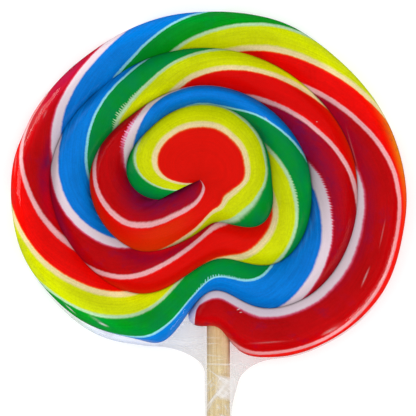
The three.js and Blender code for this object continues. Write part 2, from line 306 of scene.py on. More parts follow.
def colour_phase(angle, across, front):
    """How far round the colours are at a point of the skin: PHASE at the outer edge, falling across the
    front face and rising on across the back, with each line shifted to where it lies on this rope."""
    at_edge = flowing(PHASE, (angle - PHASE_START) / PHASE_STEP)
    turn = turns_in(angle)
    for at, spread, lift, reach in RIM_LIFTS:
        fading = np.maximum(1 - across / reach, 0) ** 2
        at_edge = at_edge + lift * np.exp(-(((angle - at) / spread) ** 2)) * fading
    if front:
        b, c = FACE_BEND
        bend = across * (1 - across) * (b + c * (1 - 2 * across))
        reach = np.interp(angle, STICK_BEARING + FACE_STEP * np.arange(len(FACE_TWIST)), FACE_TWIST)
        phase = at_edge - reach * (across + bend)
    else:
        phase = at_edge + HIDDEN_TWIST * ease(turn, 0.8, 1.2) + BACK_TWIST * across
    even = (np.arange(COLOUR_TURNS)[:, None] + np.array(LINES)).ravel()
    before, beyond = -1, COLOUR_TURNS + 1
    phase = np.interp(phase, np.r_[before, even + LINE_SHIFTS, beyond], np.r_[before, even, beyond])
    if front:
        for line, reach, amount, begins, full in LINE_PINCHES:
            off = (phase - line + 0.5) % 1 - 0.5
            phase = phase + off * amount * np.exp(-((off / reach) ** 2)) * ease(angle, begins, full)
        phase = np.maximum(phase, CORE_PHASE - UNHELD * (1 - ease(angle, *CORE_SPAN)))
    return phase * ease(angle, ROPE_START + TIP_WHITE[0], ROPE_START + TIP_WHITE[1])


def spots(angle, across, places):
    """Gaussian spots over (coil angle, across), added up."""
    total = 0
    for at, spread, place, reach, amount in places:
        total = total + amount * np.exp(-(((angle - at) / spread) ** 2) - ((across - place) / reach) ** 2)
    return total


def tone(angle, across):
    """Painted light and shade as the colour's brightness, how far crimson turns to wine in the painted shade,
    and how far red turns to orange (+) or crimson to pink (-). The painted glow at the rim is a smoothstep,
    and the painted shade beside each groove falls off exponentially."""
    rim = 1 - ease(angle, CROTCH - 4, CROTCH + 8)
    glow = (RIM_GLOW * (1 - ease(across, 0.08, 0.5)) + EDGE_GLOW[0] * np.exp(-across / EDGE_GLOW[1])) * rim
    (rim_shade, rim_reach), (shade_in, reach_in) = GROOVE_SHADE
    beside = mix(shade_in, rim_shade, rim) * np.exp(-(1 - across) / mix(reach_in, rim_reach, rim))
    beside = beside + OUTER_SHADE[0] * np.exp(-across / OUTER_SHADE[1]) * (1 - rim)
    beside = beside * (1 - middle_fade(angle))
    light = (1 + glow) * (1 - INNER_FALL * ease(across, 0.35, 0.85)) * (1 - beside)
    light = np.clip(light * (1 - spots(angle, across, SHADE_AND_HIGHLIGHT_SPOTS)), *LIGHT_RANGE)
    wine = np.clip(spots(angle, across, WINE_SHADE_SPOTS) + 0.5 * (0.85 - light), 0, 1)
    warm = spots(angle, across, WARM_SPOTS) + WARM_INSIDE * ease(turns_in(angle), 1.7, 2.2)
    warm = warm + WARM_EDGE[0] * np.exp(-across / WARM_EDGE[1])
    return light, wine, warm


# ---- Meshes ----

def placed(x, y, z):
    """Points in metres in the part's frame, from millimetres in the coil's."""
    return (np.stack([x, y, z], -1).reshape(-1, 3) + MIDDLE) * MM


def grid_corners(rows, columns, flip):
    """Two triangles for each cell of a rows x columns grid, as corner numbers."""
    i, j = np.meshgrid(np.arange(rows - 1), np.arange(columns - 1), indexing="ij")
    a = (i * columns + j).ravel()
    b, c, d = a + columns, a + columns + 1, a + 1
    corners = np.concatenate([np.stack([a, b, c], 1), np.stack([a, c, d], 1)])
    return corners[:, ::-1] if flip else corners


def skin(name, points, triangles, corner_maps=None, corner_tones=None):
    """A mesh object from numpy arrays; corner_maps are UV maps given for each triangle corner, and
    corner_tones are threefold attributes given the same way."""
    keep = (triangles[:, 0] != triangles[:, 1]) & (triangles[:, 1] != triangles[:, 2])
    keep &= triangles[:, 2] != triangles[:, 0]
    used, compact = np.unique(triangles[keep], return_inverse=True)
    mesh = bpy.data.meshes.new(name)
    mesh.vertices.add(len(used))
    mesh.vertices.foreach_set("co", points[used].astype(np.float32).ravel())
    corners = compact.reshape(-1)
    mesh.loops.add(len(corners))
    mesh.loops.foreach_set("vertex_index", corners.astype(np.int32))
    mesh.polygons.add(len(corners) // 3)
    mesh.polygons.foreach_set("loop_start", np.arange(0, len(corners), 3, dtype=np.int32))
    for label, values in (corner_maps or {}).items():
        layer = mesh.uv_layers.new(name=label)
        layer.data.foreach_set("uv", values[keep].reshape(-1, 2).astype(np.float32).ravel())
    for label, values in (corner_tones or {}).items():
        layer = mesh.attributes.new(label, "FLOAT_VECTOR", "CORNER")
        layer.data.foreach_set("vector", values[keep].reshape(-1, 3).astype(np.float32).ravel())
    mesh.update(calc_edges=True)
    mesh.polygons.foreach_set("use_smooth", np.ones(len(corners) // 3, bool))
    piece = bpy.data.objects.new(name, mesh)
    bpy.context.scene.collection.objects.link(piece)
    return piece, used


FINE_OFFSETS = [0, 0.03, 0.1, 0.2, 0.35, 0.55, 0.8, 1.1, 1.5, 1.9]  # columns of the blunt end, in degrees
EVEN_OFFSETS = (2.4, 359.9)  # where the evenly spaced columns begin and end
ANGLE_STEP = 0.75
FRONT_ROWS = 24
BACK_ROWS = 13
SWELLS = [(0.05, 9, 20, 11), (0.02, 2.2, 40, 17)]  # uneven skin: height, size, place in the noise, seed
SWELL_ABOVE = (2.5, 3.2)  # half heights from which the skin is uneven, and fully so
RIB_HEIGHT = 0.035
RIBS = 5  # once for each colour


def coil_piece():
    """Front and back sheets over (coil angle, across). A column's inner edge is the outer edge of the
    column one turn on, and the two sheets share the disc's rim, so the skin is closed."""
    offsets = np.r_[FINE_OFFSETS, np.arange(*EVEN_OFFSETS, ANGLE_STEP)]
    angles = np.concatenate([ROPE_START + 360 * turn + offsets for turn in range(TURNS)])
    angles = np.r_[angles[angles < ROPE_END - 0.2], ROPE_END]
    a_turn, last = len(offsets), len(angles) - 1
    middle_x, middle_y = plan(angles, 0.5)
    along = np.r_[0, np.cumsum(np.hypot(np.diff(middle_x), np.diff(middle_y)))]

    points, ids, rope, place, tones, drawn, corners = [], [], [], [], [], [], []
    first = 0
    for front, count in ((True, FRONT_ROWS), (False, BACK_ROWS)):
        share = np.linspace(0, 1, count)
        across = mix(share, 1 - np.cos(share * np.pi / 2), 0.35)[None, :]
        angle = angles[:, None]
        x, y = plan(angle, across)
        height = half_height(angle, across, front)
        phases = colour_phase(angle, across, front)
        if front:
            swell = sum(high * rough(x / size + at, y / size + at, seed) for high, size, at, seed in SWELLS)
            ribs = RIB_HEIGHT * np.cos(phases * RIBS * 2 * np.pi) * (4 * across * (1 - across)) ** 0.7
            height = height + swell * ease(height, *SWELL_ABOVE) + ribs * blunt_end(angle)
        z = height if front else -height
        points.append(placed(x, y, z))
        number = first + np.arange(x.size).reshape(x.shape)
        outer = number[:, 0].copy()
        if not front:
            outer[angles <= CROTCH] = ids[0][angles <= CROTCH, 0]
        number[:, 0] = outer
        number[:, -1] = outer[np.minimum(np.arange(last + 1) + a_turn, last)]
        number[0] = outer[a_turn]
        number[last] = outer[last]
        ids.append(number)
        rope.append(np.stack([np.broadcast_to(along[:, None], x.shape), phases], -1).reshape(-1, 2))
        turn = np.broadcast_to(turns_in(angle), x.shape)
        place.append(np.stack([np.broadcast_to(across, x.shape), turn], -1).reshape(-1, 2))
        # Painted light and shade, with the wine and the orange or pink of the reds, at each point.
        tones.append(np.stack([np.broadcast_to(t, x.shape) for t in tone(angle, across)], -1).reshape(-1, 3))
        drawn.append(np.stack([spots(angle, across, DRAWN_SPOTS)] * 3, -1).reshape(-1, 3))
        corners.append(grid_corners(*x.shape, flip=not front) + first)
        first += x.size
    flat_ids = np.concatenate([n.ravel() for n in ids])
    corners = np.concatenate(corners)
    maps = {"rope": np.concatenate(rope)[corners], "place": np.concatenate(place)[corners]}
    depth = {"tone": np.concatenate(tones)[corners], "drawn": np.concatenate(drawn)[corners]}
    piece, used = skin("candy_coil", np.concatenate(points), flat_ids[corners], maps, depth)

    # The grooves are creases: the skin turns sharply there.
    creased = angles > CROTCH + 1
    lines = np.isin(used, np.r_[ids[0][creased, 0], ids[1][creased, 0]])
    ends = np.zeros(len(piece.data.edges) * 2, np.int32)
    piece.data.edges.foreach_get("vertices", ends)
    sharp = lines[ends.reshape(-1, 2)].all(1)
    attribute = piece.data.attributes.new("sharp_edge", "BOOLEAN", "EDGE")
    attribute.data.foreach_set("value", sharp)
    return piece


def stick_piece():
    """A turned rod: radius over length with small rounded ends, its side a little uneven along the grain."""
    length, sides, rows = STICK_TOP - STICK_BOTTOM, 72, 150
    bevel, slack, end = 0.45, 0.03, 1.2
    turn = np.linspace(0, np.pi / 2, 7)
    rise = np.r_[0, bevel * (1 - np.cos(turn)), np.linspace(end, length - end, rows)]
    rise = np.r_[rise, length - bevel * (1 - np.cos(turn[::-1])), length]
    round_end = bevel * (1 - np.sin(turn))
    inset = np.r_[STICK_RADIUS, round_end, np.zeros(rows), round_end[::-1], STICK_RADIUS]
    around = np.linspace(0, 2 * np.pi, sides, endpoint=False)
    h, a = np.meshgrid(rise, around, indexing="ij")
    grain = 0.03 * rough(a * 16 / np.pi, h / 30 + 5, 31) + 0.02 * rough(a * 2 / np.pi + 9, h / 14, 37)
    inset = inset[:, None]
    radius = np.maximum(STICK_RADIUS - slack - inset + np.where(inset < 0.1, grain, 0), 0)
    x, z = STICK_X + radius * np.cos(a), radius * np.sin(a)
    y = STICK_BOTTOM + h
    number = np.arange(x.size).reshape(x.shape)
    number[0], number[-1] = number[0, 0], number[-1, 0]
    number = np.concatenate([number, number[:, :1]], 1)
    corners = grid_corners(len(rise), sides + 1, flip=False)
    piece, _ = skin("stick_rod", placed(x, y, z), number.ravel()[corners])
    return piece


# ---- Film ----

WEB_LEFT = (-0.05, -31.9, 12.6, 5.5)  # corner x and y, reach, drop
WEB_RIGHT = (6.8, -34.5, 8.3, 4.7)
WEB_TOP = -27
WEB_TUCK = (5, 3)  # how far its left and right edge slip under the disc's
WEB_TUCK_RISE = 7.5
WEB_HALF = 3.2  # half its thickness
SLEEVE_BEGIN = -36
SLEEVE_TIGHT = -45.5
SLEEVE_END = -52
SLEEVE_HALF = 2.5
FILM_GAP = 0.3
FILM_GAPS = [(240, 13, 0.95), (160, 12, 0.25)]  # added where it spans a hollow: angle, spread, size
FILM_RISE = 0.22  # above the crowns
FILM_BACK = BACK_CROWN + 0.06
FILM_EDGE = 4.2  # how far in from the edge the film is still rising
FILM_COLUMNS = 90  # across each face
FILM_BANDS = [(20, 60), (-24, 130), (-40, 150), (SLEEVE_END, 70)]  # the y where each band ends, and its rows
UNION = 6  # the power of the smooth union of disc and web
FAR = 99  # past every edge
PALE_CREASES_AND_HIGHLIGHTS = [
    (-32.6, 10.6, 67, 4.0, 0.75, 0.05), (-22.6, -28.3, -32, 1.6, 0.12, 0.16),
    (-11.5, -30.9, -8, 2.6, 0.16, 0.18), (24.8, -28.5, 30, 1.5, 0.50, 0.06),
    (12.0, -31.2, 4, 2.4, 0.12, 0.12), (-9.9, -34.2, 2, 3.5, 0.12, 0.25), (3.4, -35.5, -1, 3.8, 0.17, 0.46),
    (1.5, -30.4, -3, 1.6, 0.11, 0.22), (1.3, -31.5, 2, 1.4, 0.11, 0.24), (1.3, -33.8, -8, 2.2, 0.12, 0.34),
    (2.6, -34.6, 4, 1.4, 0.10, 0.26), (1.9, -37.4, -36, 1.5, 0.13, 0.50),
    (3.5, -38.2, -30, 1.2, 0.11, 0.30), (0.9, -39.0, 52, 0.9, 0.12, 0.34),
    (2.1, -41.5, 50, 2.2, 0.30, 0.60), (1.2, -42.4, 58, 1.5, 0.14, 0.40), (0.9, -43.6, 62, 0.9, 0.20, 0.50),
    (4.0, -43.8, -62, 0.8, 0.16, 0.55), (4.8, -43.2, 76, 0.9, 0.15, 0.50),
    (0.3, -42.3, 88, 3.2, 0.30, 0.42), (5.6, -38.6, -78, 1.8, 0.16, 0.26),
    (6.1, -36.9, -70, 1.6, 0.20, 0.20), (2.9, -46.5, 40, 1.6, 0.2, 0.45), (3.6, -49.0, -44, 1.5, 0.2, 0.45),
]  # pale creases of the film, milky and painted highlights: x, y, direction, length, width, whiteness
PATCH = (4.1, -40.1, 1.75, 2.25, 0.60)  # a flat fold on the stick, milky and a painted highlight: x, y, half sizes, whiteness
PATCH_LEAN = 0.23
GLINTS = [
    (-19.3, -27.8, -24, 1.5, 0.30, 0.60), (-20.6, -26.9, -32, 2.4, 0.40, 0.16),
    (-25.6, -24.9, -42, 2.0, 0.18, 0.60), (30.4, -18.8, 67, 2.6, 0.28, 0.24),
    (23.6, -29.1, 27, 2.2, 0.45, 0.24), (-31.0, 12.9, 62, 1.5, 0.30, 0.16),
    (-30.3, 12.1, 66, 1.3, 0.26, 0.12), (-34.0, 8.6, 72, 2.6, 0.60, 0.14),
    (-36.0, 3.0, 86, 3.6, 0.20, 0.16), (28.0, 5.2, -74, 6.0, 0.20, 0.06),
    (33.6, -10.6, 78, 3.6, 0.20, 0.10), (-13.0, 32.6, 20, 3.6, 0.20, 0.14),
    (6.4, -24.9, 25, 0.6, 0.18, 0.55), (6.8, -25.5, 5, 0.4, 0.16, 0.45), (11.6, 11.2, -42, 1.0, 0.14, 0.4),
    (21.2, 10.6, 20, 0.3, 0.14, 0.3),
]  # streaks of light on the film over the disc, given the same way


def creases(x, y):
    """Long thin Gaussians, each turned to its direction, added up."""
    total = 0
    for cx, cy, direction, length, width, white in PALE_CREASES_AND_HIGHLIGHTS:
        c, s = np.cos(np.radians(direction)), np.sin(np.radians(direction))
        along, aside = (x - cx) * c + (y - cy) * s, (y - cy) * c - (x - cx) * s
        total = total + white * np.exp(-((along / length) ** 2) - (aside / width) ** 2)
    px, py, wide, high, white = PATCH
    lean = y - py + PATCH_LEAN * (x - px)
    return total + white * np.exp(-(((x - px) / wide) ** 4) - (lean / high) ** 10)


def strands(x, y):
    """A number that is the same all along each line in which the film is pulled: level beside the disc,
    and parallel to the free edge (a quarter ellipse on either side) close to it."""
    left = x < STICK_X
    corner_x, corner_y, reach, drop = (np.where(left, a, b) for a, b in zip(WEB_LEFT, WEB_RIGHT))
    out = np.clip(np.where(left, corner_x - x, x - corner_x) / reach, 0, 1)
    fall = drop * (1 - np.sqrt(1 - (1 - out) ** 2 * 0.98))
    near = np.exp(-np.clip(y - corner_y + fall, 0, FAR) / 2.4)
    return y + fall * near - 0.12 * (x - STICK_X) * (1 - near)


def film_outline():
    """The disc's edge moved outward by a gap that opens where the film spans a hollow."""
    angle = np.linspace(ROPE_START, CROTCH, 1801)
    x, y = plan(angle, 0.0)
    gap = FILM_GAP + 0.05 * rough(angle / 7 + 3, angle * 0 + 0.5, 5, 1)
    for at, spread, size in FILM_GAPS:
        gap = gap + size * np.exp(-(((angle - at) / spread) ** 2))
    dx, dy = np.gradient(x), np.gradient(y)
    size = np.hypot(dx, dy) + 1e-9
    return angle, x + gap * dy / size, y - gap * dx / size


def fillet(side, sign, y):
    """The web's edge: a quarter of an ellipse from the disc to the neck, as x at a height y."""
    corner_x, corner_y, reach, drop = side
    part = np.clip((corner_y - y) / drop, 0, 1)
    turned = np.arccos(1 - part)
    return corner_x + sign * reach * (1 - np.sin(turned))


def film_edges(y):
    """Left and right edge of the film at each height y, and of the web that hangs below the disc."""
    angle, ox, oy = film_outline()
    top, low_left = np.argmax(oy), np.argmin(np.where(angle > 180, oy, FAR))
    low_right = np.argmin(np.where(angle < 0, oy, FAR))
    left_y, left_x = oy[top : low_left + 1][::-1], ox[top : low_left + 1][::-1]
    right_y, right_x = oy[low_right : top + 1], ox[low_right : top + 1]
    disc_left = np.where(y >= left_y[0], np.interp(y, left_y, left_x), FAR)
    disc_right = np.where(y >= right_y[0], np.interp(y, right_y, right_x), -FAR)
    close = ease(-y, -SLEEVE_BEGIN, -SLEEVE_TIGHT)
    web_left = mix(fillet(WEB_LEFT, -1, y), STICK_X - SLEEVE_HALF, close)
    web_right = mix(fillet(WEB_RIGHT, 1, y), STICK_X + SLEEVE_HALF, close)
    rise = np.clip((y - WEB_LEFT[1]) / (WEB_TOP - WEB_LEFT[1]), 0, 1)
    web_left = web_left + WEB_TUCK[0] * rise
    web_right = web_right - WEB_TUCK[1] * np.clip((y - WEB_RIGHT[1]) / WEB_TUCK_RISE, 0, 1)
    left = np.where(y > WEB_LEFT[1], disc_left, np.minimum(disc_left, web_left))
    right = np.where(y > WEB_RIGHT[1], disc_right, np.maximum(disc_right, web_right))
    return left, right, web_left, web_right


def film_piece():
    """Closed rings across the film at each height y, from the top of the disc to the sleeve's open end.
    Half height is the smooth union of a pillow over the disc and a flat tube for web and sleeve, with
    ridges of noise for the pulled folds and the crumples."""
    angle, ox, oy = film_outline()
    top = oy.max() - 0.001
    (begin, count), *bands = FILM_BANDS
    y = top - (top - begin) * (1 - np.cos(np.linspace(0, np.pi / 2, count)))
    for end, count in bands:
        y = np.r_[y, np.linspace(begin, end, count)[1:]]
        begin = end
    left, right, web_left, web_right = film_edges(y)
    around = np.linspace(0, 2 * np.pi, 2 * FILM_COLUMNS, endpoint=False)
    a = around[None, :]
    centre, half = ((left + right) / 2)[:, None], ((right - left) / 2)[:, None]
    x = centre + half * np.cos(a)
    yy = np.broadcast_to(y[:, None], x.shape)
    front = np.sin(a) >= 0

    bearing = np.degrees(np.arctan2(yy, x))
    bearing = np.where(bearing < ROPE_START, bearing + 360, bearing)
    edge_bearing = np.degrees(np.unwrap(np.arctan2(oy, ox)))
    order = np.argsort(edge_bearing)
    edge = np.interp(bearing, edge_bearing[order], np.hypot(ox, oy)[order])
    inward = edge - np.hypot(x, yy)
    depth = np.clip(inward / FILM_EDGE, 0, 1)
    crown = np.where(front, FRONT_CROWN[0] + 0.35 * ease(inward, 4, 22) + FILM_RISE, FILM_BACK)
    pillow = crown * (1 - (1 - depth) ** EDGE_ROUND) ** (1 / EDGE_ROUND)

    web_middle, web_half = ((web_left + web_right) / 2)[:, None], ((web_right - web_left) / 2)[:, None]
    inside = np.clip(1 - ((x - web_middle) / web_half) ** 2, 0, 1)
    web_high = mix(WEB_HALF, SLEEVE_HALF + 0.1, ease(-yy, 33, 42))
    web = web_high * np.sqrt(inside) * ease(-yy, 22, 28)
    height = (pillow**UNION + web**UNION) ** (1 / UNION)

    strand = strands(x, yy)
    pulled = rough(x / 14 + 7, strand / 0.9 + 9, 51) * ease(-yy, 27, 32) * (1 - ease(-yy, 37, 40))
    crumple = 1 - 2 * np.abs(rough((x + 0.8 * yy) / 2.4 + 30, (yy - 0.5 * x) / 3.6 + 30, 57, 2))
    crumple = crumple * ease(-yy, 36, 39.5)
    tight = rough(x / 3.5 + 11, yy / 3.5 + 12, 67) * (1 - ease(-yy, 26, 30)) * ease(depth, 0.0, 0.5)
    # Pale creases: milky film and painted highlights on the folds, on the front only.
    pale = np.where(front, creases(x, yy), 0)
    fold = np.maximum(0.14 * pulled + 0.025 * crumple + 0.08 * pale * ease(-yy, 30, 34), -0.12) + 0.02 * tight
    height = np.where(height > 0, height + fold * ease(height, 0.0, 1.6), 0)
    z = np.where(front, height, -np.minimum(height, FILM_BACK))

    number = np.arange(x.size).reshape(x.shape)
    number[0] = number[0, 0]
    number = np.concatenate([number, number[:, :1]], 1)
    corners = number.ravel()[grid_corners(len(y), len(around) + 1, flip=False)]
    outside = ease(-inward, -0.6, -0.1)
    folds = np.stack([pale, outside, strand], -1).reshape(-1, 3)
    piece, _ = skin("wrapper_film", placed(x, yy, z), corners, None, {"folds": folds[corners]})
    return piece


# ---- Materials ----

class Value:
    """A socket in a material. Arithmetic on it adds Math nodes."""

    def __init__(self, paint, socket):
        self.paint, self.socket = paint, socket

    def math(self, operation, *others):
        return self.paint.math(operation, self, *others)

    def __add__(self, other):
        return self.math("ADD", other)

    def __sub__(self, other):
        return self.math("SUBTRACT", other)

    def __rsub__(self, other):
        return self.paint.math("SUBTRACT", other, self)

    def __mul__(self, other):
        return self.math("MULTIPLY", other)

    def __truediv__(self, other):
        return self.math("DIVIDE", other)

    __radd__, __rmul__ = __add__, __mul__

    def step(self, start, end):
        """Smoothstep from 0 at start to 1 at end; start may be the larger."""
        settings = {"interpolation_type": "SMOOTHSTEP"}
        low, high, a, b = (start, end, 0, 1) if start < end else (end, start, 1, 0)
        return self.paint.node("ShaderNodeMapRange", settings, {0: self, 1: low, 2: high, 3: a, 4: b})

    def band(self, begins, full, fades, ends):
        """0 outside begins to ends, 1 from full to fades."""
        return self.step(begins, full) * self.step(ends, fades)


class Paint:
    """A material and the one method that adds any node to it."""

    def __init__(self, name):
        self.material = bpy.data.materials.new(name)
        self.material.use_nodes = True
        self.tree = self.material.node_tree
        self.tree.nodes.clear()

    def node(self, kind, settings=None, inputs=None, output=0):
        made = self.tree.nodes.new(kind)
        for key, value in (settings or {}).items():
            if key == "stops":
                ramp = made.color_ramp
                while len(ramp.elements) > 1:
                    ramp.elements.remove(ramp.elements[-1])
                ramp.elements[0].position, ramp.elements[0].color = value[0]
                for position, colour in value[1:]:
                    ramp.elements.new(position).color = colour
            else:
                setattr(made, key, value)
        for key, value in (inputs or {}).items():
            socket = made.inputs[key]
            if isinstance(value, Value):
                self.tree.links.new(value.socket, socket)
            else:
                socket.default_value = value
        return None if output is None else Value(self, made.outputs[output])

    def math(self, operation, *values):
        return self.node("ShaderNodeMath", {"operation": operation}, dict(enumerate(values)))

    def place(self):
        """Object coordinates."""
        return self.node("ShaderNodeTexCoord", output=3)

    def attribute(self, name):
        return self.node("ShaderNodeAttribute", {"attribute_name": name}, output=1)

    def apart(self, vector):
        """The three numbers of a vector."""
        split = self.node("ShaderNodeSeparateXYZ", None, {0: vector}).socket.node
        return [Value(self, socket) for socket in split.outputs]

    def joined(self, x, y, z=0.0):
        return self.node("ShaderNodeCombineXYZ", None, {0: x, 1: y, 2: z})

    def noise(self, vector, scale=1.0, detail=2.0, roughness=0.5):
        inputs = {"Vector": vector, "Scale": scale, "Detail": detail, "Roughness": roughness}
        return self.node("ShaderNodeTexNoise", {"noise_dimensions": "3D"}, inputs)

    def blend(self, share, a, b, how="MIX"):
        """Two colours mixed by a share."""
        settings = {"data_type": "RGBA", "blend_type": how}
        return self.node("ShaderNodeMix", settings, {0: share, 6: a, 7: b}, output=2)

    def bump(self, height, distance, strength):
        inputs = {"Strength": strength, "Distance": distance, "Height": height}
        return self.node("ShaderNodeBump", None, inputs)

    def finish(self, shader):
        self.node("ShaderNodeOutputMaterial", None, {"Surface": shader}, output=None)
        return self.material


def shade(red, green, blue):
    """A colour given as it looks on screen, 0 to 255, made linear."""
    v = np.array([red, green, blue]) / 255
    v = np.where(v <= 0.04045, v / 12.92, ((v + 0.055) / 1.055) ** 2.4)
    return (*v.tolist(), 1.0)


WHITE = shade(228, 210, 219)
# Each colour with the line that ends it: where it begins and ends to the eye, then the line's half width,
# how soft its two edges are, and its colour.
COLOURS = [
    (shade(182, 1, 8), shade(186, 1, 4), 0.0115, 0.009, shade(236, 172, 174)),
    (shade(234, 2, 0), shade(236, 6, 0), 0.0125, 0.012, shade(232, 212, 154)),
    (shade(206, 214, 0), shade(200, 214, 2), 0.0055, 0.011, shade(174, 212, 166)),
    (shade(0, 146, 14), shade(0, 142, 44), 0.0060, 0.006, shade(140, 216, 226)),
    (shade(2, 122, 214), shade(4, 116, 210), 0.028, 0.011, WHITE),
]
FRINGE = shade(246, 112, 0)  # where red gives way to its pale line
FRINGE_PLACE = 0.45  # of the soft edge
RED = 1
BLUSH = shade(216, 76, 112)  # where the wide white line gives way to crimson
WIDE_TRIM = (0.007, -0.001)  # off the wide line's crimson side, to where the white ends and to the blush
BRISTLED = ((0.021, 1), (0.603, 1), (0.775, -1))  # where bristles grow from, and to which side
BRISTLE = 0.030


def stripes():
    """Ramp stops round the rope, starting in the middle of the wide white line."""
    wide, soft = COLOURS[-1][2:4]
    stops = [(0.0, WHITE), (wide - WIDE_TRIM[0], WHITE), (wide - WIDE_TRIM[1], BLUSH)]
    for k, (begins, ends, half, edge, line) in enumerate(COLOURS):
        centre = LINES[k + 1] if k + 1 < len(LINES) else 1.0
        stops += [(stops[-1][0] + soft, begins), (centre - half - edge, ends)]
        if k == RED:
            stops.append((centre - half - edge * FRINGE_PLACE, FRINGE))
        stops.append((centre - half, line))
        if centre < 1:
            stops.append((centre + half, line))
        soft = edge
    return stops + [(1.0, WHITE)]


def candy_material():
    """Stripes read from the twist, with feathered edges, pulled streaks along them, and painted light and
    shade: a glow at the rim, shade in the grooves and a few highlights."""
    paint = Paint("striped_candy")
    along, phase, _ = paint.apart(paint.node("ShaderNodeUVMap", {"uv_map": "rope"}))
    across, turn, _ = paint.apart(paint.node("ShaderNodeUVMap", {"uv_map": "place"}))
    # Painted light and shade, the wine of the reds in that shade, and their orange or pink.
    light, wine, warm = paint.apart(paint.attribute("tone"))
    drawn, _, _ = paint.apart(paint.attribute("drawn"))
    spot = paint.place()

    # The lines wander a little, and in places the two beside green and the crimson side of the wide white
    # one are drawn out in fine bristles: past such a line its own colour reaches on as far as a bristle.
    wander = (paint.noise(spot, 260, 2) - 0.5) * 0.009
    place = (phase + wander).math("FRACT")
    wave = along * 12.0 + paint.noise(paint.joined(along * 0.9, phase * 4, turn), 1, 1) * 6.0
    sparse = paint.noise(paint.joined(along * 2.2, phase * 4, turn + 5.0), 1, 1).step(0.20, 0.60)
    bristle = wave.math("SINE").step(-0.5, 1.0) * sparse * drawn * BRISTLE
    ragged = paint.noise(paint.joined(along * 1.9, phase * 16, turn + 3.0), 1, 3, 0.7) - 0.5
    lined = phase + wander + ragged * 0.010
    for line, side in BRISTLED:
        past = ((place - line) * side).math("MAXIMUM", 0.0)
        lined = lined - past.math("MINIMUM", bristle) * past.step(0.06, 0.04) * side
    around = lined.math("FRACT")
    colour = paint.node("ShaderNodeValToRGB", {"stops": stripes()}, {0: around})

    # Streaks pulled along the rope, and clouds.
    streak = paint.noise(paint.joined(along * 0.09, phase * 120, turn), 1, 4, 0.7)
    cloud = paint.noise(spot, 190, 4, 0.6)
    coloured = around.band(0.036, 0.05, 0.955, 0.97)
    fine = paint.noise(spot, 2600, 2, 0.6)
    grain = (streak - 0.5) * 0.55 + (cloud - 0.5) * 0.38 + (fine - 0.5) * 0.34
    light = light * (1.0 + grain * (coloured * 0.75 + 0.25))
    # A painted line of shade along each groove, then the painted light and shade laid over the stripes.
    groove_shade_line = across.step(0.964, 1.0) + across.step(0.034, 0.0) * turn.step(0.98, 1.02)
    light = light * (1.0 - groove_shade_line * (paint.noise(spot, 60, 1).step(0.36, 0.60) * 0.40 + 0.10))
    colour = paint.blend(1.0, colour, paint.joined(light, light, light), "MULTIPLY")

    # Wine in the reds, as painted shade and in random stains, orange in the reds, pink beside the wide white
    # line and at the rim, teal in the green, and paler streaks in the blue.
    red = around.band(0.030, 0.055, 0.225, 0.246)
    smear = paint.noise(paint.joined(along * 0.35, phase * 14, turn), 1, 3, 0.6).step(0.35, 0.65)
    stain = paint.noise(spot, 380, 3, 0.65).step(0.53, 0.78) * 0.38
    colour = paint.blend((wine * (smear * 0.6 + 0.55) + stain) * red, colour, shade(122, 10, 60))
    orange = around.band(0.26, 0.30, 0.42, 0.445)
    colour = paint.blend(turn.step(0.7, 1.3) * orange * 0.55, colour, shade(204, 2, 0))
    colour = paint.blend(warm.math("MAXIMUM", 0.0) * orange, colour, shade(255, 150, 0))
    pink = (0.0 - warm).math("MAXIMUM", 0.0) * around.step(0.02, 0.04) * red
    colour = paint.blend(pink, colour, shade(214, 26, 84))
    beside_wide = around.band(0.022, 0.032, 0.040, 0.058) * turn.step(2.0, 2.3)
    colour = paint.blend(beside_wide * drawn * 0.85, colour, shade(242, 150, 194))
    beside_rim = around.band(0.22, 0.24, 0.26, 0.28) * turn.step(0.32, 0.18)
    colour = paint.blend(beside_rim * 0.42, colour, shade(250, 100, 104))
    green = around.band(0.605, 0.62, 0.765, 0.777)
    teal = turn.step(0.6, 1.2) * 0.38 + (paint.noise(spot, 300, 3, 0.6) - 0.52) * 1.2
    colour = paint.blend(teal.math("MAXIMUM", 0.0) * green, colour, shade(0, 122, 84))
    blue = around.band(0.786, 0.80, 0.95, 0.965)
    sky = paint.noise(paint.joined(along * 0.16, phase * 60, turn + 7.0), 1, 3, 0.7).step(0.42, 0.75)
    colour = paint.blend(sky * blue * 0.45, colour, shade(0, 140, 232))

    height = streak * 0.5 + paint.noise(spot, 900, 2) * 0.2
    shader = paint.node("ShaderNodeBsdfPrincipled", None, {
        "Base Color": colour,
        "Roughness": cloud * 0.12 + 0.14,
        "Normal": paint.bump(height, 0.00004, 0.4),
        "IOR": 1.5,
        "Specular IOR Level": 0.06,
    })
    return paint.finish(shader)


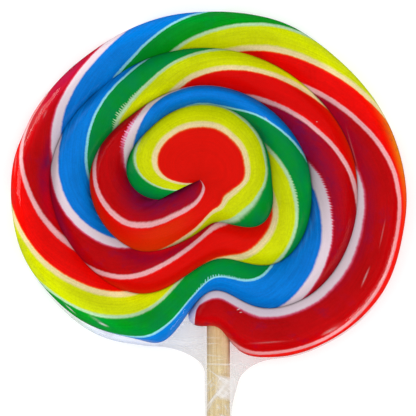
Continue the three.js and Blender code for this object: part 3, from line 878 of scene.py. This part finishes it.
def wood_material():
    """Pale turned birch: long grain lines, darker pores and a slow change of tone, with painted light
    and shadow where it meets the candy.
    """
    paint = Paint("birch_stick")
    spot = paint.place()
    long, short = (
        paint.node("ShaderNodeMapping", None, {"Vector": spot, "Scale": (1, squeeze, 1)})
        for squeeze in (0.035, 0.09)
    )
    grain = paint.noise(long, 2600, 4, 0.65)
    pores = paint.noise(short, 5200, 2)
    slow = paint.noise(spot, 120, 2)
    colour = paint.node("ShaderNodeValToRGB", {"stops": [
        (0.30, shade(182, 146, 88)), (0.46, shade(216, 192, 138)), (0.60, shade(235, 217, 170)),
        (0.75, shade(245, 231, 192)),
    ]}, {0: grain * 0.8 + slow * 0.25})
    colour = paint.blend(pores.step(0.62, 0.72) * 0.5, colour, shade(150, 112, 66))

    # Painted light: warmer where the candy above throws its colour on it; and a painted shadow, darker along
    # one edge there.
    side, up, _ = paint.apart(spot)
    side, below = side / MM - (float(MIDDLE[0]) + STICK_X), up / MM - float(MIDDLE[1])
    colour = paint.blend(below.step(-38, -28) * 0.55, colour, shade(204, 152, 92))
    colour = paint.blend(side.step(1.6, 2.15) * below.step(-37.5, -33) * 0.7, colour, shade(128, 72, 48))
    shader = paint.node("ShaderNodeBsdfPrincipled", None, {
        "Base Color": colour,
        "Roughness": grain * 0.2 + 0.5,
        "Normal": paint.bump(grain + pores * 0.5, 0.00008, 0.7),
        "Specular IOR Level": 0.3,
    })
    return paint.finish(shader)


CRUMPLES = ((0.82, -0.57), (0.71, 0.71))  # the directions of the crumpled folds round the stick


def film_material():
    """Clear shrunk film: it lets nearly all light through, mirrors at grazing angles, and is a little
    milky where it is gathered; painted highlights lie on its creases and in streaks over the disc."""
    paint = Paint("clear_film")
    spot = paint.place()
    x, y, z = paint.apart(spot)
    x, y = x / MM - float(MIDDLE[0]), y / MM - float(MIDDLE[1])
    crease_and_highlight, outside, strand = paint.apart(paint.attribute("folds"))
    crinkle = paint.noise(spot, 700, 3)

    # Outside the disc the film is paler, milky and with painted highlights on its folds: a little all over,
    # in long lines where it is pulled between the disc and the stick, and in patches of short straight lines
    # where it is crumpled round the stick.
    beside = (x - STICK_X).math("ABSOLUTE").step(STICK_RADIUS - 0.2, STICK_RADIUS + 0.5)
    line = paint.noise(paint.joined(x * 0.10, strand * 1.7 + crinkle * 0.25), 1, 3, 0.65)
    line = line.step(0.52, 0.68) * outside * y.band(-42, -37, -28, -22)
    milk_and_highlight_share = crease_and_highlight * (crinkle * 0.5 + 0.75) + line * (beside * 0.05 + 0.16)
    round_stick = y.step(-34.5, -38.0)
    for k, (c, s) in enumerate(CRUMPLES):
        fold = paint.noise(paint.joined((x * c + y * s) * 0.30, (y * c - x * s) * 1.25, k * 5.0), 1, 2) - 0.5
        patch = paint.noise(paint.joined(x * 0.5, y * 0.5, k * 3.0 + 2.0), 1, 1).step(0.48, 0.62)
        fold = fold.math("ABSOLUTE").step(0.08, 0.0)
        milk_and_highlight_share = milk_and_highlight_share + fold * patch * round_stick * (0.28 - beside * 0.24)

    # Each streak of light is an ellipse, read in the streak's own place, turn and size.
    flat = paint.joined(x, y)
    front = z.step(MIDDLE[2] * MM, MIDDLE[2] * MM + 0.0005)
    for gx, gy, direction, length, width, white in GLINTS:
        off = paint.node("ShaderNodeMapping", {"vector_type": "TEXTURE"}, {
            "Vector": flat,
            "Location": (gx, gy, 0),
            "Rotation": (0, 0, np.radians(direction)),
            "Scale": (length, width, 1),
        })
        off = paint.node("ShaderNodeVectorMath", {"operation": "LENGTH"}, {0: off}, output=1)
        milk_and_highlight_share = milk_and_highlight_share + off.step(1.0, 0.0) * front * white
    milk_and_highlight_share = milk_and_highlight_share.math("MINIMUM", 0.85)

    clear = paint.node("ShaderNodeBsdfTransparent", None, {"Color": (0.985, 0.985, 0.99, 1)})
    gloss = paint.node("ShaderNodeBsdfGlossy", None, {
        "Color": (1, 1, 1, 1),
        "Roughness": 0.07,
        "Normal": paint.bump(crinkle, 0.00006, 0.4),
    })
    mirror = paint.node("ShaderNodeFresnel", None, {"IOR": 1.42})
    glint = paint.noise(spot, 330, 2).step(0.55, 0.66) * 0.12 + 0.025
    glint = glint * (1.0 - outside * 0.85)
    mirror = (mirror * 0.6).math("MINIMUM", glint)
    shader = paint.node("ShaderNodeMixShader", None, {0: mirror, 1: clear, 2: gloss})
    thrown_back = paint.node("ShaderNodeBsdfDiffuse", None, {"Color": (0.95, 0.95, 0.96, 1)})
    let_through = paint.node("ShaderNodeBsdfTranslucent", None, {"Color": (0.95, 0.95, 0.96, 1)})
    milk_and_highlight = paint.node("ShaderNodeMixShader", None, {0: 0.15, 1: thrown_back, 2: let_through})
    # Outside the disc and below it the film is painted greyer, more where it is away from the stick.
    grey = paint.node("ShaderNodeBsdfDiffuse", None, {"Color": (0.66, 0.67, 0.68, 1)})
    grey_share = outside * y.step(-20, -29) * (beside * 0.20 + 0.05)
    shader = paint.node("ShaderNodeMixShader", None, {0: grey_share, 1: shader, 2: grey})
    shader = paint.node("ShaderNodeMixShader", None, {0: milk_and_highlight_share, 1: shader, 2: milk_and_highlight})
    return paint.finish(shader)


def floor_material():
    """White board with a little light of its own, so that shadows on it stay pale."""
    paint = Paint("pale_floor")
    return paint.finish(paint.node("ShaderNodeBsdfPrincipled", None, {
        "Base Color": (0.55, 0.55, 0.55, 1),
        "Roughness": 0.9,
        "Specular IOR Level": 0.0,
        "Emission Color": (1, 1, 1, 1),
        "Emission Strength": 0.56,
    }))


# ---- Build ----

coil = coil_piece()
coil.data.materials.append(candy_material())
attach(coil, "root")
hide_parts("candy_swirl")

rod = stick_piece()
rod.data.materials.append(wood_material())
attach(rod, "root")
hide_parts("stick")

film = film_piece()
film.data.materials.append(film_material())
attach(film, "root")
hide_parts("wrapper_skirt")

# ---- Stage, light and camera ----

FLOOR_DROP = 0.00012  # below what lies on it
bpy.ops.mesh.primitive_plane_add(size=6, location=(0, 0, -FLOOR_DROP))
floor = bpy.context.object
floor.name = "floor"
floor.data.materials.append(floor_material())
floor.visible_glossy = False

world = bpy.data.worlds.new("studio")
bpy.context.scene.world = world
world.use_nodes = True
background = world.node_tree.nodes["Background"]
background.inputs["Color"].default_value = (1, 1, 1, 1)
background.inputs["Strength"].default_value = 0.04


def soft_light(name, spot, aim, size, power, mirrored):
    """A rectangular lamp turned towards a point; mirrored says whether gloss shows it."""
    data = bpy.data.lights.new(name, "AREA")
    data.shape, data.size, data.size_y, data.energy = "RECTANGLE", size[0], size[1], power
    lamp = bpy.data.objects.new(name, data)
    lamp.location = spot
    lamp.rotation_mode = "QUATERNION"
    lamp.rotation_quaternion = (Vector(aim) - Vector(spot)).to_track_quat("-Z", "Y")
    lamp.visible_glossy = mirrored
    bpy.context.scene.collection.objects.link(lamp)


DISC = (MIDDLE[0] * MM, MIDDLE[1] * MM, 0.0)
soft_light("overhead", (0, 0.05, 1.1), DISC, (1.8, 1.8), 18.5, False)
soft_light("left_box", (-0.55, 0.25, 0.30), DISC, (0.5, 0.3), 1.2, True)
soft_light("right_box", (0.5, -0.25, 0.25), DISC, (0.4, 0.2), 0.8, True)

CAMERA_DISTANCE = 0.45
FRAME_WIDTH = 0.07966  # seen at the disc's middle plane
FRAME_MIDDLE = (0.000575, -0.005745)  # from the coil's middle
SENSOR = 36
camera_data = bpy.data.cameras.new("camera")
camera_data.sensor_width = SENSOR
camera_data.lens = SENSOR * CAMERA_DISTANCE / FRAME_WIDTH
camera_data.clip_start, camera_data.clip_end = 0.01, 20
camera = bpy.data.objects.new("camera", camera_data)
bpy.context.scene.collection.objects.link(camera)
camera.location = (DISC[0] + FRAME_MIDDLE[0], DISC[1] + FRAME_MIDDLE[1], MIDDLE[2] * MM + CAMERA_DISTANCE)
bpy.context.scene.camera = camera

bpy.context.scene.view_settings.view_transform = "Standard"
